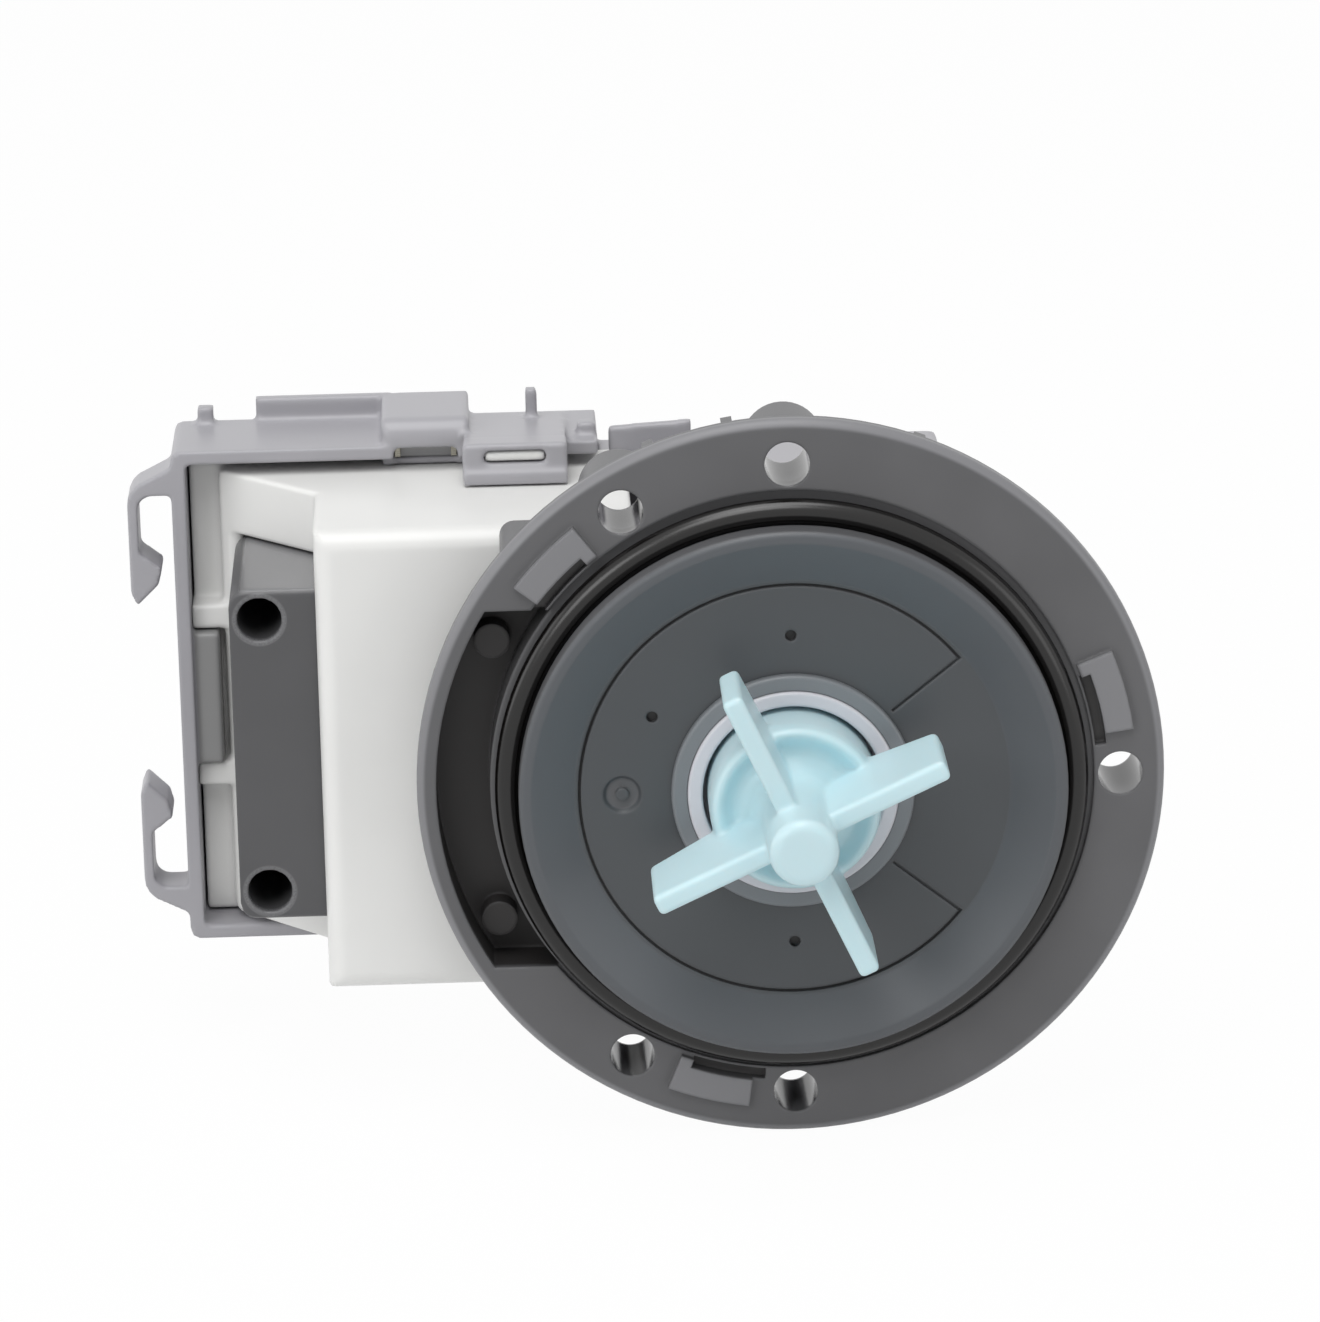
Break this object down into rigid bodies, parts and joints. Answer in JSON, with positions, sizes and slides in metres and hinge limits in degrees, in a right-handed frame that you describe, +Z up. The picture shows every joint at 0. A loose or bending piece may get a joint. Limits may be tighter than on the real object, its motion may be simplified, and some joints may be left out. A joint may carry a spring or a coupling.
{
  "type": "washer drain pump",
  "caption": "Drain pump for a washing machine: a round bolted flange with a sealed spigot, a bladed impeller, a wet rotor and a U-core motor under a clip-on cover.",
  "frame": {"origin": "pump axis at the front face of the flange plate", "axes": "+Y back along the pump axis into the motor, +Z up, +X to the right seen from the front"},
  "size_m": [0.1394, 0.0921, 0.1],
  "materials": {
    "flange_plastic": "fine-grained moulded plastic",
    "seal_rubber": "smooth dull rubber",
    "carrier_plastic": "smooth moulded plastic",
    "bush_material": "dense filled plastic",
    "core_steel": "sheet edges",
    "bobbin_plastic": "smooth moulded plastic",
    "coil_copper": "enamelled wire",
    "protector_black": "smooth",
    "housing_plastic": "smooth white moulded plastic",
    "cap_plastic": "fine-grained moulded plastic",
    "cover_plastic": "satin moulded plastic",
    "terminal_metal": "tinned",
    "screw_steel": "zinc plated",
    "magnet_ferrite": "dull sintered",
    "hub_plastic": "smooth moulded plastic",
    "shaft_steel": "ground",
    "washer_plastic": "smooth",
    "impeller_plastic": "smooth, slightly translucent"
  },
  "bodies": {
    "pump_body": {"pump_flange": "flange_plastic", "rotor_can": "flange_plastic", "flange_o_ring": "seal_rubber", "bearing_carrier": "carrier_plastic", "carrier_o_ring": "seal_rubber", "shaft_seal": "seal_rubber", "front_bush": "bush_material", "rear_bush": "bush_material", "rear_grommet": "seal_rubber", "lamination_stack": "core_steel", "upper_bobbin": "bobbin_plastic", "lower_bobbin": "bobbin_plastic", "upper_coil": "coil_copper", "lower_coil": "coil_copper", "thermal_protector": "protector_black", "coil_housing": "housing_plastic", "yoke_cap": "cap_plastic", "rear_cover": "cover_plastic", "terminal_tabs": "terminal_metal", "stack_screws": "screw_steel"},
    "rotor": {"rotor_magnet": "magnet_ferrite", "rotor_hub": "hub_plastic", "pump_shaft": "shaft_steel", "front_thrust_washer": "washer_plastic", "rear_thrust_washer": "washer_plastic", "drive_cam": "hub_plastic"},
    "impeller_set": {"impeller": "impeller_plastic", "impeller_cap": "impeller_plastic"}
  },
  "joints": [
    {"name": "rotor_spin", "type": "hinge", "parent": "pump_body", "child": "rotor", "pos_m": [0, 0, 0], "axis": [0, 1, 0], "continuous": true},
    {"name": "impeller_slip", "type": "hinge", "parent": "rotor", "child": "impeller_set", "pos_m": [0, 0, 0], "axis": [0, 1, 0], "range_deg": [-118, 118]}
  ]
}
